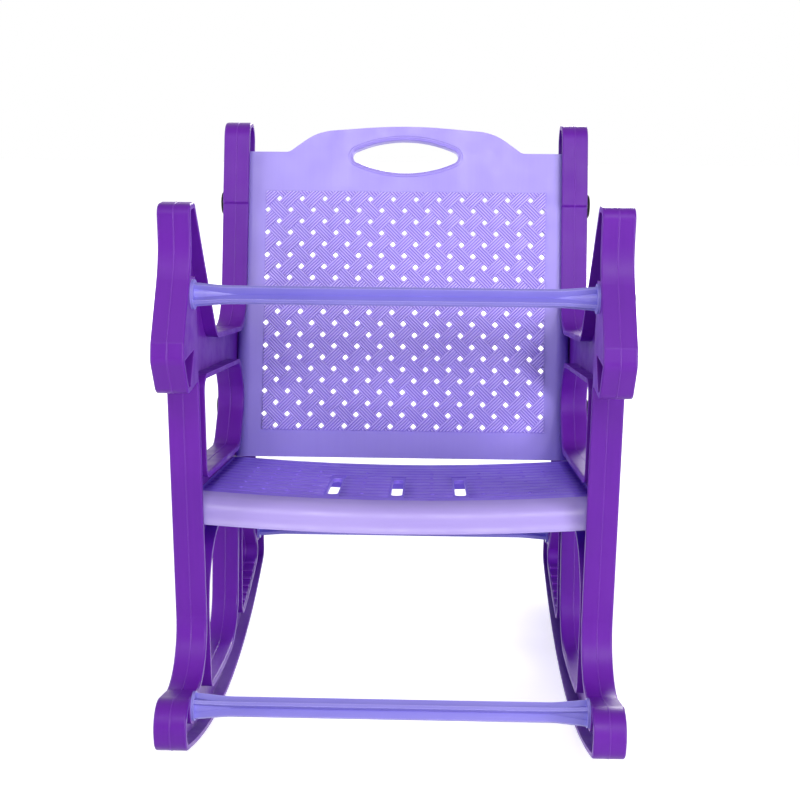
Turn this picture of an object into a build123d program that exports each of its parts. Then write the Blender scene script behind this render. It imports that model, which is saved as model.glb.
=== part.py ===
from build123d import *

import os
from math import asin, cos, degrees, radians, sin, tan

os.makedirs("parts", exist_ok=True)

# Child's rocking chair, millimetres. The front faces -Y and +Z is up. Left and right are as
# seen from the front, with right at +X. The origin is on the floor, in the middle of the chair.

# Side frames: two mirrored I-section mouldings, a band on each edge of a recessed web
overall_width = 370.0
frame_width = 26.0
rim_wall = 4.5
web_wall = 5.0
band_round = 1.6

# Rocker: an arc with a bulb at the toe and a blunt tail
rocker_radius = 700.0
rocker_middle = 33.0
rail_height = 35.0
toe_front = -241.0
toe_top = 97.0
toe_length = 57.0
toe_drop = 17.0
toe_round = 20.0
tail_rear = 240.2
tail_height = 54.0
tip_round = 14.0
tip_run = 20.0

# Front leg, scroll at the arm's front and horn above it. A rise or fall is from the seat's sides
leg_front = -136.0
leg_depth = 18.0
leg_sweep = 44.0
scroll_reach = 58.0
scroll_rise = 102.0
scroll_nose = 30.0
scroll_height = 44.0
scroll_heel = 42.0
scroll_round = 11.0
scroll_pad = 30.0
scroll_cheek = 12.0
scroll_cheek_foot = 36.0
horn_rise = 246.0
horn_depth = 24.0
horn_setback = 12.0
horn_neck_drop = 41.0
horn_round = 9.0
neck_round = 60.0
crease_round = 4.0

# Arm rail and rear post
arm_front = -36.0
arm_rise = 121.5
arm_slope = 9.5
arm_rail = 37.0
arm_rail_rear = 36.5
arm_round = 30.0
post_foot = 138.0
post_lean = 17.8
post_depth = 40.0
post_rise = 289.0
post_round = 18.0
post_sweep = 45.0
post_step = 2.4
post_step_drop = 77.0
post_step_run = 1.6
post_step_round = 1.4
waist_fall = 13.0
waist_depth = 52.0
waist_sweep = 110.0

# Openings of a side frame
arm_opening_setback = 30.0
arm_opening_sill = 17.0
arm_opening_bulge = 62.0
arm_opening_round = 24.0
leg_opening_rear = 58.0
leg_opening_drop = 41.0
leg_opening_front_round = 60.0
leg_opening_heel = 46.0
leg_floor_run = 15.0
leg_heel_setback = 69.0
leg_heel_run = 42.0
leg_opening_top_round = 20.0
rear_leg_depth = 26.0
tail_opening_top = 20.0
tail_opening_clear = 21.0
tail_floor_run = 18.0
opening_round = 10.0

# Seat: a bowed tray that slopes down to the back, with its ends in the frames' recesses
seat_front = -120.0
seat_rear = 102.0
seat_height = 227.0
seat_slope = 9.2
seat_bow = 6.5
seat_skirt = 24.0
seat_wall = 3.5
seat_lip_round = 15.0
seat_slot_count = 3
seat_slot_length = 84.0
seat_slot_width = 10.0
seat_slot_pitch = 56.5
seat_slot_setback = 47.5
seat_screw_inset = 38.0

# Backrest: a panel in the posts' recesses, with a grip hole in its hump and a lattice of small holes
back_setback = 5.3
back_fall = 35.5
back_length = 340.4
back_flange = 26.0
back_screw_depth = 15.5
back_rim = 10.0
back_wall = 3.5
back_corner = 14.0
hump_rise = 28.7
hump_shoulder = 119.0
hump_crown = 90.0
hump_crown_drop = 7.5
shoulder_round = 10.0
hump_round = 55.0
crown_round = 500.0
grip_length = 124.0
grip_height = 34.0
grip_drop = 32.5
grip_round = 7.0
grip_edge = 1.6
grip_collar = 11.0
lattice_side = 29.7
lattice_step = 23.2
lattice_hole = 4.2
lattice_columns = 13
lattice_foot = 32.0
lattice_head = 76.0
back_upper_rise = 244.0
back_lower_rise = 44.5

# Cross bars: a cruciform section that flares to a round end plate
fin_height = 16.0
fin_flare = 21.5
fin_wall = 2.8
flare_length = 28.0
flare_round = 100.0
end_plate = 23.5
end_plate_wall = 2.2
bar_core = 13.0
bar_core_tip = 4.0
bar_core_length = 34.0
safety_bar_rise = 176.0
safety_bar_turn = 25.0
safety_bar_pad = 12.0
foot_bar_setback = 34.0
foot_bar_height = 78.0
foot_bar_turn = -45.0
stretcher_setback = 45.0
stretcher_height = 80.0
stretcher_turn = 20.0

# Screws with their bosses, sockets and caps
screw_shank = 4.5
screw_bite = 17.0
screw_head = 9.0
screw_head_height = 2.4
screw_head_round = 1.0
screw_play = 0.15
boss_diameter = 28.0
socket_size = 13.0
socket_length = 21.0
cap_diameter = 25.0
bar_cap_diameter = 14.0
cap_height = 4.4
cap_round = 3.4
cap_play = 0.3
cap_sink = 0.6
bar_cap_sink = 2.2

# Ribs on the rocker rail inside the rear opening
rail_rib_count = 6
rail_rib_pitch = 15.0
rail_rib_wall = 3.0
rail_rib_height = 2.0

# Faces shared by the pieces
outer_face = overall_width / 2
inner_face = outer_face - frame_width
recess_depth = (frame_width - web_wall) / 2
web_face = inner_face + recess_depth
panel_width = 2 * web_face
screw_hole = screw_shank / 2 + screw_play

# Heights that follow the seat
scroll_bottom = seat_height + scroll_rise
safety_bar_height = seat_height + safety_bar_rise
horn_top = seat_height + horn_rise
horn_neck = horn_top - horn_neck_drop
arm_height = seat_height + arm_rise
post_top = seat_height + post_rise
waist_height = seat_height - waist_fall
back_height = seat_height - back_fall


def rocker_angle(y, lift):
    """Angle at y on the rocker arc lifted above the floor."""
    return asin((y - rocker_middle) / (rocker_radius - lift))


def rocker_point(y, lift, run=0.0):
    """Point at y on the lifted rocker arc, moved along its tangent by run."""
    turn = rocker_angle(y, lift)
    radius = rocker_radius - lift
    return (y + run * cos(turn), rocker_radius - radius * cos(turn) + run * sin(turn))


def rocker_corner(start, end, lift):
    """Corner where the tangents of the lifted rocker arc at two places meet."""
    first = rocker_angle(start, lift)
    last = rocker_angle(end, lift)
    reach = (rocker_radius - lift) / cos((last - first) / 2)
    middle = (first + last) / 2
    return (rocker_middle + reach * sin(middle), rocker_radius - reach * cos(middle))


def arm_line(y):
    """Height of the arm rail's top."""
    return arm_height - (y - arm_front) * tan(radians(arm_slope))


def post_line(z):
    """Front edge of the rear post."""
    return post_foot + (z - arm_line(post_foot)) * tan(radians(post_lean))


def seat_line(y):
    """Height of the seat's top along its sides."""
    return seat_height - (y - seat_front) * tan(radians(seat_slope))


def back_line(z):
    """Front face of the backrest."""
    return post_line(z) + back_setback


# Outline of a side frame as (y, z, corner radius): up the front, over the arm, down the back
toe_arc_end = toe_front + tip_run
tail_arc_end = tail_rear - tip_run
toe_low = rocker_point(toe_arc_end, 0, -tip_run)
tail_low = rocker_point(tail_arc_end, 0, tip_run)
toe_crease = toe_front + toe_length
scroll_front = leg_front - scroll_reach
horn_front = leg_front - horn_setback
post_back = post_line(post_top) + post_depth / cos(radians(post_lean))
step_top = post_top - post_step_drop
step_foot = step_top - post_step_run
frame_outline = [
    (*toe_low, tip_round),
    (toe_front, toe_top, toe_round),
    (toe_crease, toe_top - toe_drop, crease_round),
    (leg_front, toe_top - toe_drop, leg_sweep),
    (leg_front, scroll_bottom, crease_round),
    (leg_front - scroll_heel, scroll_bottom, scroll_round),
    (scroll_front, scroll_bottom + scroll_nose, scroll_round),
    (scroll_front + crease_round, scroll_bottom + scroll_height, crease_round),
    (horn_front, horn_neck, neck_round),
    (horn_front, horn_top, horn_round),
    (horn_front + horn_depth, horn_top, horn_round),
    (arm_front, arm_line(arm_front), arm_round),
    (post_foot, arm_line(post_foot), post_sweep),
    (post_line(step_foot), step_foot, post_step_round),
    (post_line(step_top) - post_step, step_top, post_step_round),
    (post_line(post_top) - post_step, post_top, post_round),
    (post_back, post_top, post_round),
    (post_line(waist_height) + waist_depth, waist_height, waist_sweep),
    (tail_rear, tail_low[1] + tail_height, tip_round),
    (*tail_low, tip_round),
    (*rocker_corner(toe_arc_end, tail_arc_end, 0), rocker_radius),
]

# Opening under the arm
arm_opening_front = leg_front + arm_opening_setback
arm_opening_rear = post_foot - arm_opening_round
arm_opening_low = post_foot - arm_opening_bulge
arm_opening = [
    (arm_opening_front, arm_line(arm_opening_front) - arm_rail, opening_round),
    (post_foot - post_sweep, arm_line(post_foot - post_sweep) - arm_rail_rear, arm_opening_round),
    (arm_opening_rear, seat_line(arm_opening_rear) + arm_opening_bulge, arm_opening_round),
    (arm_opening_low, seat_line(arm_opening_low) + arm_opening_sill, arm_opening_round),
    (arm_opening_front, seat_line(arm_opening_front) + arm_opening_sill, opening_round),
]

# Opening under the seat, between the front leg and the rear leg
leg_opening_front = leg_front + leg_depth
leg_floor_start = leg_opening_front + leg_floor_run
leg_floor_end = leg_opening_rear - leg_heel_setback
leg_opening = [
    (leg_opening_front, seat_line(leg_opening_front) - leg_opening_drop, leg_opening_front_round),
    (*rocker_point(leg_floor_start, rail_height, -leg_floor_run), opening_round),
    (*rocker_corner(leg_floor_start, leg_floor_end, rail_height), rocker_radius - rail_height),
    (*rocker_point(leg_floor_end, rail_height, leg_heel_run), leg_opening_heel),
    (leg_opening_rear, seat_line(leg_opening_rear) - leg_opening_drop, leg_opening_top_round),
]

# Opening above the rear of the rocker
tail_floor_start = leg_opening_rear + rear_leg_depth
tail_floor_end = tail_rear - stretcher_setback - tail_opening_clear
tail_opening_height = seat_line(leg_opening_rear) - leg_opening_drop
tail_opening = [
    (*rocker_point(tail_floor_start, rail_height, -tail_floor_run), opening_round),
    (*rocker_corner(tail_floor_start, tail_floor_end, rail_height), rocker_radius - rail_height),
    (*rocker_point(tail_floor_end, rail_height, tail_floor_run), opening_round),
    (tail_floor_start + tail_opening_top, tail_opening_height, opening_round),
    (tail_floor_start, tail_opening_height, opening_round),
]
frame_openings = [arm_opening, leg_opening, tail_opening]

# Fastening points on a side frame as (y, z)
bar_axes = {
    "safety_bar": (horn_front, safety_bar_height),
    "foot_bar": (toe_front + foot_bar_setback, foot_bar_height),
    "rear_stretcher": (tail_rear - stretcher_setback, stretcher_height),
}
bar_turns = {
    "safety_bar": safety_bar_turn,
    "foot_bar": foot_bar_turn,
    "rear_stretcher": stretcher_turn,
}
seat_screw_y = {
    "seat_front": seat_front + seat_screw_inset,
    "seat_rear": seat_rear - seat_screw_inset,
}
back_screw_z = {
    "backrest_upper": back_height + back_upper_rise,
    "backrest_lower": back_height + back_lower_rise,
}
seat_screw_points = {name: (y, seat_line(y) - seat_skirt / 2) for name, y in seat_screw_y.items()}
back_screw_points = {name: (back_line(z) + back_screw_depth, z) for name, z in back_screw_z.items()}
panel_screw_points = {**seat_screw_points, **back_screw_points}
screw_points = {**bar_axes, **panel_screw_points}

# Cap diameter, cap sink and the face that the screw bites into, at each fastening point
fastenings = {
    **{name: (bar_cap_diameter, bar_cap_sink, inner_face) for name in bar_axes},
    **{name: (cap_diameter, cap_sink, web_face) for name in panel_screw_points},
}


# Side view of a frame's band and openings
with BuildSketch() as frame_profile:
    with BuildLine():
        FilletPolyline(*[c[:2] for c in frame_outline], radius=[c[2] for c in frame_outline], close=True)
    make_face()
    for opening in frame_openings:
        with BuildLine():
            FilletPolyline(*[c[:2] for c in opening], radius=[c[2] for c in opening], close=True)
        make_face(mode=Mode.SUBTRACT)

# Pad under the safety bar as (y, z) corners, with a cheek down behind the scroll's own recess
pad_rear = horn_front + boss_diameter / 2
pad_bottom = scroll_bottom + scroll_pad
pad_top = safety_bar_height + safety_bar_pad
cheek_top = leg_front - scroll_cheek
cheek_foot = leg_front - scroll_cheek_foot
pad_corners = [
    (scroll_front, pad_bottom),
    (cheek_top, pad_bottom),
    (cheek_foot, scroll_bottom),
    (pad_rear, scroll_bottom),
    (pad_rear, pad_top),
    (scroll_front, pad_top),
]

# Recess between the bands: clear of the bars on the inside, and of every screw on the outside
with BuildSketch() as inner_recess:
    add(offset(frame_profile.sketch, amount=-rim_wall, mode=Mode.PRIVATE))
    with Locations(*bar_axes.values()):
        Circle(boss_diameter / 2, mode=Mode.SUBTRACT)
    with BuildLine():
        Polyline(*pad_corners, close=True)
    make_face(mode=Mode.SUBTRACT)
with BuildSketch() as outer_recess:
    add(inner_recess.sketch)
    with Locations(*panel_screw_points.values()):
        Circle(boss_diameter / 2, mode=Mode.SUBTRACT)

# Left side frame
frame_plane = Plane.YZ.offset(-outer_face)
with BuildPart() as left_side_frame:
    with BuildSketch(frame_plane):
        add(frame_profile.sketch)
    extrude(amount=frame_width)
    fillet(left_side_frame.edges().filter_by(Plane.YZ), radius=band_round)
    with BuildSketch(frame_plane):
        add(outer_recess.sketch)
    extrude(amount=recess_depth, mode=Mode.SUBTRACT)
    with BuildSketch(frame_plane.offset(frame_width - recess_depth)):
        add(inner_recess.sketch)
    extrude(amount=recess_depth, mode=Mode.SUBTRACT)
    for name, (diameter, sink, _) in fastenings.items():
        with BuildSketch(frame_plane):
            with Locations(screw_points[name]):
                Circle(diameter / 2 + cap_play)
        extrude(amount=sink, mode=Mode.SUBTRACT)
    with BuildSketch(frame_plane):
        with Locations(*screw_points.values()):
            Circle(screw_hole)
    extrude(amount=frame_width, mode=Mode.SUBTRACT)
    rib_middle = (tail_floor_start + tail_floor_end) / 2
    with BuildSketch(frame_plane.offset(band_round)):
        for step in range(rail_rib_count):
            rib_y = rib_middle + (step - (rail_rib_count - 1) / 2) * rail_rib_pitch
            rib_turn = degrees(rocker_angle(rib_y, rail_height))
            with Locations(Location(rocker_point(rib_y, rail_height), rib_turn)):
                Rectangle(rail_rib_wall, 2 * rail_rib_height)
    extrude(amount=frame_width - 2 * band_round)
left_side_frame.part.label = "left_side_frame"
export_step(left_side_frame.part, "parts/left_side_frame.step")

# Right side frame
with BuildPart() as right_side_frame:
    mirror(left_side_frame.part, about=Plane.YZ)
right_side_frame.part.label = "right_side_frame"
export_step(right_side_frame.part, "parts/right_side_frame.step")

# Seat: an outer tray less a hollow that stops short of the screw sockets
seat_plane = Plane(
    origin=(0, seat_front, seat_height),
    x_dir=(1, 0, 0),
    z_dir=(0, cos(radians(seat_slope)), -sin(radians(seat_slope))),
)
seat_top = Plane(origin=seat_plane.origin, x_dir=(1, 0, 0), z_dir=-seat_plane.y_dir)
seat_depth = (seat_rear - seat_front) / cos(radians(seat_slope))
seat_slabs = []
for inset in (0.0, seat_wall):
    half = web_face - inset
    skirt = seat_skirt + inset
    with BuildPart() as slab:
        with BuildSketch(seat_plane.offset(inset)):
            with BuildLine():
                top = ThreePointArc((-half, inset), (0, seat_bow + inset), (half, inset))
                bottom = ThreePointArc((half, skirt), (0, seat_bow + skirt), (-half, skirt))
                Line(top @ 1, bottom @ 0)
                Line(bottom @ 1, top @ 0)
            make_face()
        extrude(amount=seat_depth - 2 * inset)
        upper_face = slab.faces().sort_by(SortBy.AREA)[-2:].sort_by(Axis.Z)[-1]
        fillet(upper_face.edges().sort_by(Axis.Y)[:1], radius=seat_lip_round - inset)
    seat_slabs.append(slab.part)
seat_sockets = [
    Plane(origin=(side * web_face, y, z), x_dir=seat_plane.z_dir, z_dir=(-side, 0, 0))
    for side in (-1, 1)
    for y, z in seat_screw_points.values()
]
with BuildPart() as seat_hollow:
    add(seat_slabs[1])
    with BuildSketch(*seat_sockets):
        Rectangle(socket_size, 2 * seat_skirt)
    extrude(amount=socket_length, mode=Mode.SUBTRACT)
with BuildPart() as seat:
    add(seat_slabs[0])
    add(seat_hollow.part, mode=Mode.SUBTRACT)
    with BuildSketch(*seat_sockets):
        Circle(screw_hole)
    extrude(amount=screw_bite + screw_play, mode=Mode.SUBTRACT)
    with BuildSketch(seat_top):
        with Locations((0, seat_slot_setback + seat_slot_length / 2)):
            with GridLocations(seat_slot_pitch, 0, seat_slot_count, 1):
                SlotOverall(seat_slot_length, seat_slot_width, rotation=90)
    extrude(amount=-seat_skirt, mode=Mode.SUBTRACT)
seat.part.label = "seat"
export_step(seat.part, "parts/seat.step")

# Front view of the backrest, from its lower edge up
back_front = Plane(
    origin=(0, back_line(back_height), back_height),
    x_dir=(1, 0, 0),
    z_dir=(0, -cos(radians(post_lean)), sin(radians(post_lean))),
)
shoulder_height = back_length - hump_rise
hump_corners = [
    (hump_shoulder, shoulder_height, shoulder_round),
    (hump_crown, back_length - hump_crown_drop, hump_round),
]
back_outline = [
    (-web_face, 0, 0),
    (-web_face, shoulder_height, 0),
    *[(-x, y, corner) for x, y, corner in hump_corners],
    (0, back_length, crown_round),
    *reversed(hump_corners),
    (web_face, shoulder_height, 0),
    (web_face, 0, 0),
]
with BuildSketch() as back_profile:
    with BuildLine():
        FilletPolyline(*[c[:2] for c in back_outline], radius=[c[2] for c in back_outline], close=True)
    make_face()
with BuildSketch() as back_inset_profile:
    add(offset(back_profile.sketch, amount=-back_wall, mode=Mode.PRIVATE))
with BuildSketch() as grip_profile:
    with BuildLine():
        upper = ThreePointArc((-grip_length / 2, 0), (0, grip_height / 2), (grip_length / 2, 0))
        ThreePointArc(upper @ 1, (0, -grip_height / 2), upper @ 0)
    make_face()
    fillet(grip_profile.vertices(), radius=grip_round)

# Backrest: an outer block less a hollow that stops short of the screw sockets
back_blocks = []
for inset, profile in ((0.0, back_profile), (back_wall, back_inset_profile)):
    with BuildPart() as block:
        with BuildSketch(back_front.offset(-inset)):
            add(profile.sketch)
        extrude(amount=inset - back_flange)
        front_face = block.faces().sort_by(Axis(back_front.origin, back_front.z_dir))[-1]
        side_edges = front_face.edges().filter_by(Axis((0, 0, 0), back_front.y_dir))
        fillet(side_edges, radius=back_corner - inset)
    back_blocks.append(block.part)
back_sockets = [
    Plane(origin=(side * web_face, y, z), x_dir=back_front.y_dir, z_dir=(-side, 0, 0))
    for side in (-1, 1)
    for y, z in back_screw_points.values()
]
grip_plane = back_front.shift_origin(back_front.from_local_coords((0, back_length - grip_drop, 0)))
lattice_pitch = (panel_width - 2 * lattice_side) / (lattice_columns - 1)
lattice_rows = int((back_length - lattice_foot - lattice_head) / lattice_step)
lattice_middle = lattice_foot + lattice_rows * lattice_step / 2
with BuildPart() as back_hollow:
    add(back_blocks[1])
    with BuildSketch(back_front.offset(-back_rim)):
        Rectangle(panel_width - 2 * back_wall, 3 * back_length)
    extrude(amount=-back_flange)
    with BuildSketch(*back_sockets):
        Rectangle(socket_size, 2 * back_flange)
    extrude(amount=socket_length, mode=Mode.SUBTRACT)
with BuildPart() as backrest:
    add(back_blocks[0])
    add(back_hollow.part, mode=Mode.SUBTRACT)
    with BuildSketch(grip_plane.offset(-back_wall / 2)):
        add(offset(grip_profile.sketch, amount=back_wall, mode=Mode.PRIVATE))
    extrude(amount=back_wall / 2 - grip_collar)
    with BuildSketch(grip_plane):
        add(grip_profile.sketch)
    extrude(amount=-back_flange, mode=Mode.SUBTRACT)
    front_face = backrest.faces().sort_by(Axis(back_front.origin, back_front.z_dir))[-1]
    fillet(front_face.inner_wires()[0].edges(), radius=grip_edge)
    with BuildSketch(back_front):
        with Locations((0, lattice_middle)):
            with GridLocations(lattice_pitch, lattice_step, lattice_columns, lattice_rows):
                Rectangle(lattice_hole, lattice_hole, rotation=45)
            with GridLocations(lattice_pitch, lattice_step, lattice_columns - 1, lattice_rows + 1):
                Rectangle(lattice_hole, lattice_hole, rotation=45)
    extrude(amount=-back_rim, mode=Mode.SUBTRACT)
    with BuildSketch(*back_sockets):
        Circle(screw_hole)
    extrude(amount=screw_bite + screw_play, mode=Mode.SUBTRACT)
backrest.part.label = "backrest"
export_step(backrest.part, "parts/backrest.step")

# Side view of one fin of a cross bar
flare_start = inner_face - flare_length
fin_outline = [
    (-inner_face, fin_flare / 2, 0),
    (-flare_start, fin_height / 2, flare_round),
    (flare_start, fin_height / 2, flare_round),
    (inner_face, fin_flare / 2, 0),
    (inner_face, -fin_flare / 2, 0),
    (flare_start, -fin_height / 2, flare_round),
    (-flare_start, -fin_height / 2, flare_round),
    (-inner_face, -fin_flare / 2, 0),
]
with BuildSketch() as fin_profile:
    with BuildLine():
        FilletPolyline(*[c[:2] for c in fin_outline], radius=[c[2] for c in fin_outline], close=True)
    make_face()

# Cross bars: two crossed fins with an end plate and a tapered screw core at each end
for name, (y, z) in bar_axes.items():
    with BuildPart() as bar:
        for turn in (bar_turns[name], bar_turns[name] + 90):
            fin_normal = (0, cos(radians(turn)), sin(radians(turn)))
            with BuildSketch(Plane(origin=(0, y, z), x_dir=(1, 0, 0), z_dir=fin_normal)):
                add(fin_profile.sketch)
            extrude(amount=fin_wall / 2, both=True)
        bar_ends = [Plane(origin=(side * inner_face, y, z), z_dir=(-side, 0, 0)) for side in (-1, 1)]
        with BuildSketch(*bar_ends):
            Circle(end_plate / 2)
        extrude(amount=end_plate_wall)
        with Locations(*bar_ends):
            Cone(bar_core / 2, bar_core_tip / 2, bar_core_length, align=(Align.CENTER, Align.CENTER, Align.MIN))
        with BuildSketch(*bar_ends):
            Circle(screw_hole)
        extrude(amount=screw_bite + screw_play, mode=Mode.SUBTRACT)
    bar.part.label = name
    export_step(bar.part, f"parts/{name}.step")

# Screws through the side frames, each under a domed cap in a shallow counterbore
for side_name, side in (("left", -1), ("right", 1)):
    for point_name, (y, z) in screw_points.items():
        diameter, sink, end_face = fastenings[point_name]
        screw_seat = outer_face - sink
        screw_plane = Plane(origin=(side * screw_seat, y, z), z_dir=(side, 0, 0))
        outward = Axis(screw_plane.origin, screw_plane.z_dir)
        with BuildPart() as screw:
            with BuildSketch(screw_plane):
                Circle(screw_head / 2)
            extrude(amount=screw_head_height)
            fillet(screw.faces().sort_by(outward)[-1].edges(), radius=screw_head_round)
            with BuildSketch(screw_plane):
                Circle(screw_shank / 2)
            extrude(amount=end_face - screw_seat - screw_bite)
        screw.part.label = f"{side_name}_{point_name}_screw"
        export_step(screw.part, f"parts/{screw.part.label}.step")
        with BuildPart() as cap:
            with BuildSketch(screw_plane):
                Circle(diameter / 2)
            extrude(amount=cap_height)
            fillet(cap.faces().sort_by(outward)[-1].edges(), radius=cap_round)
            with BuildSketch(screw_plane):
                Circle(screw_head / 2 + cap_play)
            extrude(amount=screw_head_height + cap_play, mode=Mode.SUBTRACT)
        cap.part.label = f"{side_name}_{point_name}_cap"
        export_step(cap.part, f"parts/{cap.part.label}.step")
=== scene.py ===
from math import atan2, cos, pi, radians, sin, sqrt

import bmesh
import bpy
from mathutils import Matrix, Vector


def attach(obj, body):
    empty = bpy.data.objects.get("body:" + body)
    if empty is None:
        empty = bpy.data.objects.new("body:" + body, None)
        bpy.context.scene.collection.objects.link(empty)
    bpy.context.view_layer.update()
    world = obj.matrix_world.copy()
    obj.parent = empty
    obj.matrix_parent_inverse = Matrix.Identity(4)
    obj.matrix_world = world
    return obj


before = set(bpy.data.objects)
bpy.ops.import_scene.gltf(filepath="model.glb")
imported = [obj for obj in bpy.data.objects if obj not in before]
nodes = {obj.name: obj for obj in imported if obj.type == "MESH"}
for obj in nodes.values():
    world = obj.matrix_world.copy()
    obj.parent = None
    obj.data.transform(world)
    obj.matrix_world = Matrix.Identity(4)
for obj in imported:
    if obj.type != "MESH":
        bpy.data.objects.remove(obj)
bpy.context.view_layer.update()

# Lengths are in millimetres and become metres where a mesh is made
MM = 0.001

# Sizes shared with the solids
inner_face = 159.0
outer_face = 185.0
frame_middle = (inner_face + outer_face) / 2
web_face = 169.5
back_foot = 102.241
back_height = 191.5
back_lean = radians(17.8)
lattice_pitch = 23.3
lattice_step = 23.2
lattice_middle = 148.0
grip_length = 124.0
grip_height = 34.0
grip_round = 7.0
grip_middle = 307.9
seat_front = -120.0
seat_height = 227.0
seat_slope = radians(9.2)
seat_bow = 6.5
seat_slot_pitch = 56.5
seat_slot_start = 47.5
seat_slot_end = 131.5

# Frames in which the details are drawn: across, up or along, and out of the surface
back_up = Vector((0, sin(back_lean), cos(back_lean)))
back_out = Vector((0, -cos(back_lean), sin(back_lean)))
seat_back = Vector((0, cos(seat_slope), -sin(seat_slope)))
seat_out = Vector((0, sin(seat_slope), cos(seat_slope)))
across = Vector((1, 0, 0))


def surface_matrix(origin, along, out):
    """Matrix from (across, along, out) in millimetres to the chair in metres."""
    turn = Matrix((across, along, out)).transposed().to_4x4()
    return Matrix.Translation(Vector(origin) * MM) @ turn @ Matrix.Scale(MM, 4)


back_matrix = surface_matrix((0, back_foot, back_height), back_up, back_out)
seat_matrix = surface_matrix((0, seat_front, seat_height), seat_back, seat_out)


def node(tree, kind, **values):
    """A shader node with its properties and input values set."""
    made = tree.nodes.new(kind)
    for name, value in values.items():
        if hasattr(made, name):
            setattr(made, name, value)
        else:
            made.inputs[name.replace("_", " ")].default_value = value
    return made


def plastic(name, light, dark, edge_highlight, roughness, gloss, flow, streak=0.3):
    """Moulded plastic: cloudy colour, streaks along its flow, painted highlights on its convex edges, fine
    grain and scuffs.
    """
    material = bpy.data.materials.new(name)
    material.use_nodes = True
    tree = material.node_tree
    link = tree.links.new
    shader = tree.nodes["Principled BSDF"]
    shader.inputs["IOR"].default_value = 1.49
    shader.inputs["Specular IOR Level"].default_value = gloss
    place = node(tree, "ShaderNodeTexCoord")
    stretch = node(tree, "ShaderNodeMapping")
    stretch.inputs["Scale"].default_value = flow
    clouds = node(tree, "ShaderNodeTexNoise", Scale=9.0, Detail=4.0)
    streaks = node(tree, "ShaderNodeTexNoise", Scale=420.0, Detail=3.0)
    pores = node(tree, "ShaderNodeTexNoise", Scale=1600.0, Detail=2.0)
    scuffs = node(tree, "ShaderNodeTexNoise", Scale=45.0, Detail=6.0)
    link(place.outputs["Object"], clouds.inputs["Vector"])
    link(place.outputs["Object"], stretch.inputs["Vector"])
    link(stretch.outputs["Vector"], streaks.inputs["Vector"])
    link(place.outputs["Object"], pores.inputs["Vector"])
    link(place.outputs["Object"], scuffs.inputs["Vector"])

    blend = node(tree, "ShaderNodeMath", operation="MULTIPLY_ADD")
    blend.inputs[1].default_value = streak
    link(streaks.outputs["Fac"], blend.inputs[0])
    link(clouds.outputs["Fac"], blend.inputs[2])
    ramp = node(tree, "ShaderNodeValToRGB")
    ramp.color_ramp.elements[0].position = 0.3 + streak * 0.3
    ramp.color_ramp.elements[0].color = (*dark, 1)
    ramp.color_ramp.elements[1].position = 0.7 + streak * 0.7
    ramp.color_ramp.elements[1].color = (*light, 1)
    link(blend.outputs["Value"], ramp.inputs["Fac"])
    # Convex edges take a lighter colour: a painted highlight along the edges
    edges = node(tree, "ShaderNodeAmbientOcclusion", inside=True, only_local=True, samples=6, Distance=0.0012)
    highlight_mask = node(tree, "ShaderNodeMapRange")
    highlight_mask.inputs["From Min"].default_value = 0.8
    highlight_mask.inputs["From Max"].default_value = 0.4
    link(edges.outputs["AO"], highlight_mask.inputs["Value"])
    paint = node(tree, "ShaderNodeMixRGB", Color2=(*edge_highlight, 1))
    link(highlight_mask.outputs["Result"], paint.inputs["Fac"])
    link(ramp.outputs["Color"], paint.inputs["Color1"])
    link(paint.outputs["Color"], shader.inputs["Base Color"])

    wear = node(tree, "ShaderNodeMapRange")
    wear.inputs["From Min"].default_value = 0.35
    wear.inputs["From Max"].default_value = 0.7
    wear.inputs["To Min"].default_value = roughness - 0.05
    wear.inputs["To Max"].default_value = roughness + 0.1
    link(scuffs.outputs["Fac"], wear.inputs["Value"])
    link(wear.outputs["Result"], shader.inputs["Roughness"])

    flow_marks = node(tree, "ShaderNodeBump", Strength=0.12, Distance=0.0003)
    fine = node(tree, "ShaderNodeBump", Strength=0.1, Distance=0.0001)
    link(streaks.outputs["Fac"], flow_marks.inputs["Height"])
    link(flow_marks.outputs["Normal"], fine.inputs["Normal"])
    link(pores.outputs["Fac"], fine.inputs["Height"])
    link(fine.outputs["Normal"], shader.inputs["Normal"])
    return material


flow_down = (1.0, 0.03, 0.03)
flow_along = (0.03, 1.0, 1.0)
# Each material's third colour is the painted highlight on its convex edges
violet = plastic(
    "violet_plastic", (0.142, 0.0120, 0.370), (0.104, 0.0080, 0.300), (0.32, 0.09, 0.62), 0.38, 0.3, flow_down
)
lavender = plastic(
    "lavender_plastic", (0.35, 0.275, 0.79), (0.31, 0.235, 0.76), (0.46, 0.38, 0.85), 0.38, 0.7, flow_down
)
# The weave's lavender is paler than the panel's: painted light on the strands
weave_lavender_painted_light = plastic(
    "weave_plastic_painted_light", (0.60, 0.48, 0.98), (0.54, 0.42, 0.96), (0.64, 0.54, 0.98), 0.38, 0.7, flow_down
)
seat_lavender = plastic(
    "seat_plastic", (0.31, 0.19, 0.92), (0.27, 0.16, 0.88), (0.42, 0.34, 0.92), 0.38, 0.5, flow_along
)
rib_lavender = plastic(
    "rib_plastic", (0.33, 0.20, 0.95), (0.29, 0.17, 0.92), (0.42, 0.34, 0.95), 0.38, 0.5, flow_along
)
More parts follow.
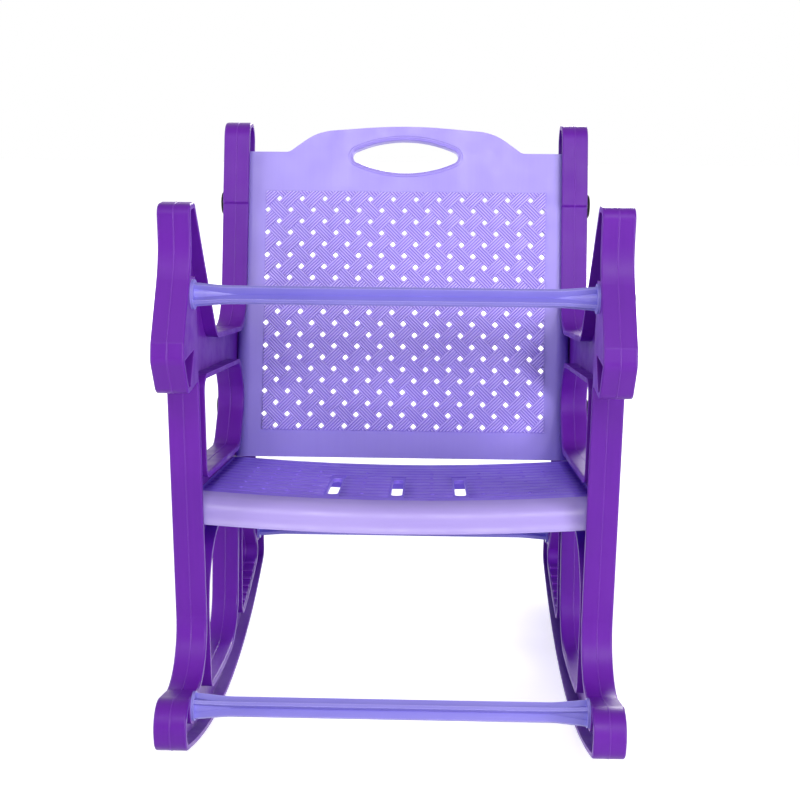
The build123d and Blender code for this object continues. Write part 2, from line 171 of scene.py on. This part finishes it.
# The lip's paler lavender is painted light: a lit copy of the seat's colour
lip_lavender_painted_light = plastic(
    "lip_plastic_painted_light", (0.43, 0.34, 0.77), (0.39, 0.30, 0.74), (0.52, 0.44, 0.84), 0.34, 0.6, flow_along
)
blue_lavender = plastic(
    "bar_plastic", (0.27, 0.235, 0.72), (0.20, 0.17, 0.62), (0.40, 0.36, 0.82), 0.34, 0.5, flow_along
)
black = plastic(
    "black_plastic", (0.006, 0.005, 0.008), (0.003, 0.003, 0.004), (0.010, 0.009, 0.012), 0.45, 0.1, flow_down
)
steel = plastic(
    "plated_steel", (0.55, 0.55, 0.57), (0.46, 0.46, 0.48), (0.62, 0.62, 0.64), 0.30, 0.5, flow_down
)
steel.node_tree.nodes["Principled BSDF"].inputs["Metallic"].default_value = 1.0


def paint_groove_shade(material, darkest_shade):
    """Paint shade into a ribbed surface's grooves, darkest where its crest attribute is low."""
    tree = material.node_tree
    base = tree.nodes["Principled BSDF"].inputs["Base Color"]
    crest = node(tree, "ShaderNodeAttribute", attribute_name="crest")
    shade = node(tree, "ShaderNodeValToRGB")
    shade.color_ramp.elements[0].color = (*darkest_shade, 1)
    grooves = node(tree, "ShaderNodeMixRGB", blend_type="MULTIPLY", Fac=1.0)
    tree.links.new(base.links[0].from_socket, grooves.inputs["Color1"])
    tree.links.new(crest.outputs["Fac"], shade.inputs["Fac"])
    tree.links.new(shade.outputs["Color"], grooves.inputs["Color2"])
    tree.links.new(grooves.outputs["Color"], base)


# Painted shade in the grooves of the weave's rods and of the seat's ribs
paint_groove_shade(weave_lavender_painted_light, (0.44, 0.36, 0.78))
paint_groove_shade(rib_lavender, (0.55, 0.50, 0.70))


def dress(obj, material):
    """Give an object one material."""
    obj.data.materials.clear()
    obj.data.materials.append(material)


finishes = {
    "_side_frame": violet,
    "_cap": black,
    "_screw": steel,
    "_bar": blue_lavender,
    "_stretcher": blue_lavender,
    "backrest": lavender,
    "seat": seat_lavender,
}
for name, obj in nodes.items():
    for ending, material in finishes.items():
        if name.endswith(ending):
            dress(obj, material)


def make_piece(name, bm, matrix, material):
    """A finished piece of the chair from a bmesh in millimetres."""
    bm.transform(matrix)
    bmesh.ops.recalc_face_normals(bm, faces=bm.faces)
    mesh = bpy.data.meshes.new(name)
    bm.to_mesh(mesh)
    bm.free()
    for face in mesh.polygons:
        face.use_smooth = True
    obj = bpy.data.objects.new(name, mesh)
    bpy.context.scene.collection.objects.link(obj)
    dress(obj, material)
    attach(obj, "root")
    return obj


def add_grid(bm, rows, crests=None):
    """Quads between neighbouring rows of points, with the rows' crest values if they are given."""
    made = [[bm.verts.new(point) for point in row] for row in rows]
    if crests:
        layer = bm.verts.layers.float["crest"]
        for row, values in zip(made, crests):
            for vert, value in zip(row, values):
                vert[layer] = value
    for low, high in zip(made, made[1:]):
        for i in range(len(low) - 1):
            bm.faces.new((low[i], low[i + 1], high[i + 1], high[i]))


# Basket weave on the backrest: strands of round rods that pass over and under each other
weave_left, weave_right = -141.5, 143.0
weave_bottom, weave_top = 27.4, 271.1
strand_width = 12.2
strand_length = 20.6
strand_rods = 5
rod_samples = 10
rod_height = 1.2
strand_crown = 1.1
strand_sink = 0.55
strand_root = -0.6
strand_rows = 8


def add_strand(bm, centre_x, centre_y, turn):
    """One visible stretch of a strand, crowned along its length."""
    along = (cos(turn), sin(turn))
    columns = strand_rods * rod_samples
    rows, crests = [], []
    for i in range(strand_rows + 1):
        run = strand_length * (i / strand_rows - 0.5)
        crown = strand_crown * (1 - (2 * run / strand_length) ** 2) - strand_sink
        row, heights = [], []
        for j in range(columns + 1):
            side = strand_width * (j / columns - 0.5)
            offset = 2 * (j % rod_samples) / rod_samples - 1
            point_x = centre_x + run * along[0] - side * along[1]
            point_y = centre_y + run * along[1] + side * along[0]
            row.append((point_x, point_y, crown + rod_height * sqrt(1 - offset ** 2)))
            heights.append((1 + cos(pi * offset)) / 2)
        first, last = row[0], row[-1]
        rows.append([(first[0], first[1], strand_root), *row, (last[0], last[1], strand_root)])
        # Crest values set the painted shade: darkest in the rods' valleys and on the strands' side walls
        crests.append([0, *heights, 0])
    add_grid(bm, rows, crests)


weave_rows, weave_columns = range(-6, 7), range(-7, 7)
weave = bmesh.new()
weave.verts.layers.float.new("crest")
turn_down = radians(-45)
turn_up = radians(45)
for row in weave_rows:
    for column in weave_columns:
        whole_x, half_x = column * lattice_pitch, (column + 0.5) * lattice_pitch
        whole_y, half_y = row * lattice_step + lattice_middle, (row + 0.5) * lattice_step + lattice_middle
        add_strand(weave, half_x, half_y, turn_down)
        add_strand(weave, whole_x, whole_y, turn_up)
trims = [
    ((weave_left, 0, 0), (-1, 0, 0)),
    ((weave_right, 0, 0), (1, 0, 0)),
    ((0, weave_bottom, 0), (0, -1, 0)),
    ((0, weave_top, 0), (0, 1, 0)),
]
for point, normal in trims:
    geometry = weave.verts[:] + weave.edges[:] + weave.faces[:]
    cut = bmesh.ops.bisect_plane(weave, geom=geometry, plane_co=point, plane_no=normal, clear_outer=True)
    cut_edges = [e for e in cut["geom_cut"] if isinstance(e, bmesh.types.BMEdge)]
    wall = bmesh.ops.extrude_edge_only(weave, edges=cut_edges)
    for vert in wall["geom"]:
        if isinstance(vert, bmesh.types.BMVert):
            vert.co.z = strand_root
make_piece("backrest_weave", weave, back_matrix, weave_lavender_painted_light)

# Raised rim round the grip hole, which is two arcs with rounded tips
rim_section = [(1.5, -0.2), (1.9, 0.5), (3.0, 0.8), (4.1, 0.5), (4.6, -0.2)]
rim_steps = 24
arc_radius = (grip_length ** 2 + grip_height ** 2) / (4 * grip_height)
arc_centre = arc_radius - grip_height / 2
tip_centre = sqrt((arc_radius - grip_round) ** 2 - arc_centre ** 2)
tip_turn = atan2(arc_centre, tip_centre)
rim_arcs = [
    (tip_centre, 0, grip_round, -tip_turn, tip_turn),
    (0, -arc_centre, arc_radius, tip_turn, pi - tip_turn),
    (-tip_centre, 0, grip_round, pi - tip_turn, pi + tip_turn),
    (0, arc_centre, arc_radius, pi + tip_turn, 2 * pi - tip_turn),
]
rim_rings = []
for centre_x, centre_y, radius, first, last in rim_arcs:
    for i in range(rim_steps):
        turn = first + (last - first) * i / rim_steps
        ring = []
        for offset, out in rim_section:
            reach = radius + offset
            ring.append((centre_x + reach * cos(turn), grip_middle + centre_y + reach * sin(turn), out))
        rim_rings.append(ring)
rim_rings.append(rim_rings[0])
rim = bmesh.new()
add_grid(rim, rim_rings)
bmesh.ops.remove_doubles(rim, verts=rim.verts, dist=1e-4)
make_piece("grip_rim", rim, back_matrix, lavender)


# Ribbed top of the seat, round its slots, with small studs
rib_pitch = 15.8
rib_height = 1.2
rib_power = 8
rib_start = 18.0
rib_count = 13
rib_samples = 12
rib_sink = 0.1
rib_end = 166.0
rib_step = 10.0
slot_clear = 7.0
slot_columns = (-1, 0, 1)
bow_radius = (web_face ** 2 + seat_bow ** 2) / (2 * seat_bow)


def seat_drop(x):
    """How far the bowed seat lies below its ends."""
    return sqrt(bow_radius ** 2 - x ** 2) - (bow_radius - seat_bow)


def seat_patch(bm, left, right, start, end):
    """Ribbed skin between two sides, from one groove to another."""
    columns = max(2, round((right - left) / rib_step))
    rows, crests = [], []
    for i in range(start * rib_samples, end * rib_samples + 1):
        offset = 2 * (i % rib_samples) / rib_samples - 1
        crest = 1 - offset ** rib_power
        rib = rib_height * crest - rib_sink
        depth = rib_start + i * rib_pitch / rib_samples
        row = []
        for j in range(columns + 1):
            x = left + (right - left) * j / columns
            row.append((x, depth, rib - seat_drop(x)))
        left_foot = (left, depth, -seat_drop(left) - rib_sink)
        right_foot = (right, depth, -seat_drop(right) - rib_sink)
        rows.append([left_foot, *row, right_foot])
        # Crest values set the painted shade, darkest in the ribs' grooves
        crests.append([crest] * len(rows[-1]))
    add_grid(bm, rows, crests)


seat_ribs = bmesh.new()
seat_ribs.verts.layers.float.new("crest")
slot_first = int((seat_slot_start - rib_start) / rib_pitch)
slot_last = int((seat_slot_end - rib_start) / rib_pitch) + 1
seat_patch(seat_ribs, -rib_end, rib_end, 0, slot_first)
seat_patch(seat_ribs, -rib_end, rib_end, slot_last, rib_count)
patch_edges = [-rib_end]
for slot in slot_columns:
    patch_edges += [slot * seat_slot_pitch - slot_clear, slot * seat_slot_pitch + slot_clear]
patch_edges.append(rib_end)
for left, right in zip(patch_edges[::2], patch_edges[1::2]):
    seat_patch(seat_ribs, left, right, slot_first, slot_last)
make_piece("seat_ribs", seat_ribs, seat_matrix, rib_lavender)

# Smooth lip over the seat's rounded front edge, from its crease to the lower edge of the skirt
lip_end = 168.0
lip_round = 15.0
lip_skin = 0.4
lip_crease = (18.0, -0.1)
lip_crest = [(16.9, 1.2), (16.3, 1.5), (15.4, 1.4)]
lip_lower = 24.0
lip_first, lip_last, lip_turn_step = 20, 90, 5
lip_profile = [lip_crease, *lip_crest]
for degrees in range(lip_first, lip_last + 1, lip_turn_step):
    turn = radians(degrees)
    reach = lip_round + lip_skin
    lip_profile.append((lip_round - reach * sin(turn), reach * cos(turn) - lip_round))
lip_bead = [(-lip_skin, 1.0), (-0.9, 0.7), (-1.0, 0.0), (-0.7, -0.4), (0.3, -0.5)]
lip_profile += [(depth, rise - lip_lower) for depth, rise in lip_bead]
lip = bmesh.new()
lip_columns = 34
lip_places = [lip_end * (2 * i / lip_columns - 1) for i in range(lip_columns + 1)]
add_grid(lip, [[(x, depth, out - seat_drop(x)) for x in lip_places] for depth, out in lip_profile])
make_piece("seat_lip", lip, seat_matrix, lip_lavender_painted_light)

stud_columns = (-137, -117, -96, -76, -31, 31, 76, 96, 117, 137)
stud_rows = (51, 79, 107, 135, 163)
stud_radius = 2.6
stud_height = 1.9
seat_studs = bmesh.new()
for x in stud_columns:
    for depth in stud_rows:
        place = Matrix.Translation((x, depth, -seat_drop(x)))
        place @= Matrix.Diagonal((1, 1, stud_height / stud_radius, 1))
        bmesh.ops.create_uvsphere(seat_studs, u_segments=12, v_segments=8, radius=stud_radius, matrix=place)
make_piece("seat_studs", seat_studs, seat_matrix, seat_lavender)


# Parting line of each side frame, a thin raised bead round the bands (the three lengths are in metres)
bead_section = [(-0.75, -0.3), (-0.6, 0.02), (-0.25, 0.3), (0.25, 0.3), (0.6, 0.02), (0.75, -0.3)]
shortest_loop = 0.1
shortest_step = 2e-5
seam_gap = 1e-6


def section_loops(obj, x):
    """Closed loops of (y, z) where a solid's mesh meets the plane at x."""
    bm = bmesh.new()
    bm.from_mesh(obj.data)
    bmesh.ops.remove_doubles(bm, verts=bm.verts, dist=seam_gap)
    geometry = bm.verts[:] + bm.edges[:] + bm.faces[:]
    bmesh.ops.bisect_plane(
        bm, geom=geometry, plane_co=(x, 0, 0), plane_no=(1, 0, 0), clear_inner=True, clear_outer=True
    )
    bmesh.ops.remove_doubles(bm, verts=bm.verts, dist=shortest_step)
    loops = []
    left = {v for v in bm.verts if len(v.link_edges) == 2}
    while left:
        start = left.pop()
        loop, before, here = [start], None, start
        while True:
            step = [e.other_vert(here) for e in here.link_edges if e.other_vert(here) is not before]
            if not step or step[0] is start or step[0] not in left:
                break
            before, here = here, step[0]
            left.discard(here)
            loop.append(here)
        loops.append([Vector((v.co.y, v.co.z)) for v in loop])
    bm.free()
    return loops


def loop_length(loop):
    """Length round a closed loop."""
    return sum((b - a).length for a, b in zip(loop, loop[1:] + loop[:1]))


def loop_area(loop):
    """Signed area, positive where the loop turns left."""
    return sum(a.x * b.y - b.x * a.y for a, b in zip(loop, loop[1:] + loop[:1])) / 2


def add_bead(bm, loop, x, outside):
    """A bead on the band along one loop, standing out of the solid."""
    side = 1 if (loop_area(loop) > 0) == outside else -1
    rings = []
    for i, here in enumerate(loop):
        before, after = loop[i - 1], loop[(i + 1) % len(loop)]
        first = (here - before).normalized()
        second = (after - here).normalized()
        tangent = (first + second).normalized()
        normal = Vector((tangent.y, -tangent.x)) * side
        stretch = 1 / max(0.5, tangent.dot(first))
        ring = []
        for offset, height in bead_section:
            point = here / MM + normal * height * stretch
            ring.append((x + offset, point.x, point.y))
        rings.append(ring)
    rings.append(rings[0])
    add_grid(bm, rings)


for side_name, side in (("left", -1), ("right", 1)):
    loops = section_loops(nodes[f"{side_name}_side_frame"], side * frame_middle * MM)
    loops = [loop for loop in loops if loop_length(loop) > shortest_loop]
    loops.sort(key=lambda loop: -abs(loop_area(loop)))
    parting = bmesh.new()
    for number, loop in enumerate(loops):
        add_bead(parting, loop, side * frame_middle, number == 0)
    bmesh.ops.remove_doubles(parting, verts=parting.verts, dist=1e-4)
    make_piece(f"{side_name}_parting_line", parting, Matrix.Scale(MM, 4), violet)


# Floor and white background
def seen_direct(tree):
    """Output that is 1 for camera, glossy and transmission rays."""
    path = node(tree, "ShaderNodeLightPath")
    first = node(tree, "ShaderNodeMath", operation="MAXIMUM")
    second = node(tree, "ShaderNodeMath", operation="MAXIMUM")
    tree.links.new(path.outputs["Is Camera Ray"], first.inputs[0])
    tree.links.new(path.outputs["Is Glossy Ray"], first.inputs[1])
    tree.links.new(first.outputs["Value"], second.inputs[0])
    tree.links.new(path.outputs["Is Transmission Ray"], second.inputs[1])
    return second.outputs["Value"]


floor_size = 12.0
floor_near, floor_far = 0.9, 2.0
floor_glow, backdrop_glow = 0.62, 1.0
bpy.ops.mesh.primitive_plane_add(size=floor_size)
floor = bpy.context.object
floor.name = "floor"
floor_material = bpy.data.materials.new("floor")
floor_material.use_nodes = True
tree = floor_material.node_tree
shader = tree.nodes["Principled BSDF"]
shader.inputs["Base Color"].default_value = (0.86, 0.86, 0.87, 1)
shader.inputs["Roughness"].default_value = 0.9
shader.inputs["Emission Color"].default_value = (1, 1, 1, 1)
place = node(tree, "ShaderNodeTexCoord")
distance = node(tree, "ShaderNodeVectorMath", operation="LENGTH")
tree.links.new(place.outputs["Object"], distance.inputs[0])
glow = node(tree, "ShaderNodeMapRange", interpolation_type="SMOOTHSTEP")
glow.inputs["From Min"].default_value = floor_near
glow.inputs["From Max"].default_value = floor_far
glow.inputs["To Min"].default_value = floor_glow
glow.inputs["To Max"].default_value = backdrop_glow
tree.links.new(distance.outputs["Value"], glow.inputs["Value"])
lift = node(tree, "ShaderNodeMath", operation="MULTIPLY")
tree.links.new(seen_direct(tree), lift.inputs[0])
tree.links.new(glow.outputs["Result"], lift.inputs[1])
tree.links.new(lift.outputs["Value"], shader.inputs["Emission Strength"])
dress(floor, floor_material)

ambient = 0.05
world = bpy.data.worlds.new("studio")
bpy.context.scene.world = world
world.use_nodes = True
tree = world.node_tree
background = tree.nodes["Background"]
background.inputs["Color"].default_value = (1, 1, 1, 1)
level = node(tree, "ShaderNodeMapRange")
level.inputs["To Min"].default_value = ambient
level.inputs["To Max"].default_value = 1.0
tree.links.new(seen_direct(tree), level.inputs["Value"])
tree.links.new(level.outputs["Result"], background.inputs["Strength"])


def softbox(name, place, target, size, power):
    """A square soft light aimed at a point."""
    data = bpy.data.lights.new(name, "AREA")
    data.shape = "SQUARE"
    data.size = size
    data.energy = power
    lamp = bpy.data.objects.new(name, data)
    lamp.location = place
    lamp.rotation_mode = "QUATERNION"
    lamp.rotation_quaternion = (Vector(target) - Vector(place)).to_track_quat("-Z", "Y")
    bpy.context.scene.collection.objects.link(lamp)


light_target = (0, 0, 0.3)
softbox("left_low_light", (-2.8, -0.95, 0.55), light_target, 0.9, 34)
softbox("left_high_light", (-2.4, -0.65, 2.0), light_target, 1.0, 18)
softbox("right_low_light", (2.3, -1.9, 0.55), light_target, 0.9, 42)
softbox("right_high_light", (1.5, -2.2, 1.6), light_target, 1.0, 24)
softbox("front_light", (0, -2.1, 2.1), light_target, 0.9, 20)
softbox("back_light", (0.5, 2.7, 1.3), light_target, 1.2, 60)

# Camera at the photograph's angle
camera_place = Vector((29.0, -1150.0, 588.0)) * MM
camera_pitch = radians(15.0)
camera_yaw = radians(1.4)
camera_roll = radians(0.4)
camera_focus = 1300.0
image_size = 800.0
sensor = 36.0
level_reach = cos(camera_pitch)
forward = Vector((-sin(camera_yaw) * level_reach, cos(camera_yaw) * level_reach, -sin(camera_pitch)))
level_right = forward.cross(Vector((0, 0, 1))).normalized()
level_up = level_right.cross(forward)
right = cos(camera_roll) * level_right + sin(camera_roll) * level_up
up = cos(camera_roll) * level_up - sin(camera_roll) * level_right
camera_data = bpy.data.cameras.new("camera")
camera_data.sensor_width = sensor
camera_data.lens = camera_focus / image_size * sensor
camera = bpy.data.objects.new("camera", camera_data)
camera.matrix_world = Matrix.Translation(camera_place) @ Matrix((right, up, -forward)).transposed().to_4x4()
bpy.context.scene.collection.objects.link(camera)
bpy.context.scene.camera = camera

bpy.context.scene.view_settings.view_transform = "Standard"
